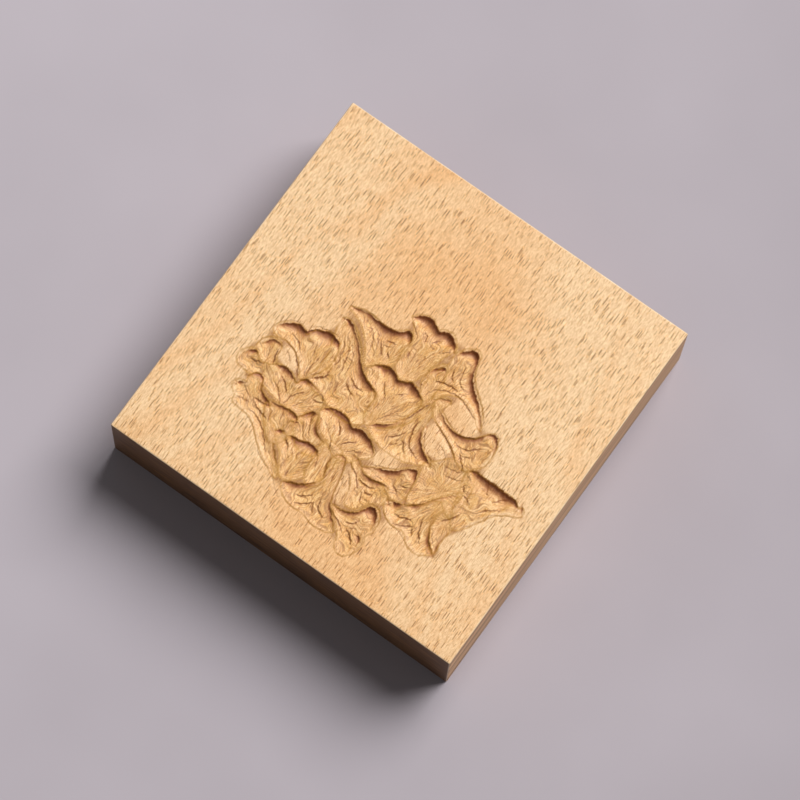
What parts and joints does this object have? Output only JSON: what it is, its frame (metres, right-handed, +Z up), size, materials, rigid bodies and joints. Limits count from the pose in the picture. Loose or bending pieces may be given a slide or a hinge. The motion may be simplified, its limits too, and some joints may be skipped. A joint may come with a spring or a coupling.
{
  "type": "wooden candy mold",
  "caption": "Square block of beech with a spray of fan leaves carved as shallow hollows into its flat top, for pressing sweets or dough into shape.",
  "frame": {"origin": "centre of the flat bottom face", "axes": "+Z up, out of the carved face; +Y along the grain; +X across the grain, with the twig's cut end towards +X"},
  "size_m": [0.1, 0.1, 0.025],
  "materials": {
    "beech": "matte, sanded, unvarnished"
  },
  "bodies": {
    "root": {"mold_block": "beech"}
  },
  "joints": []
}
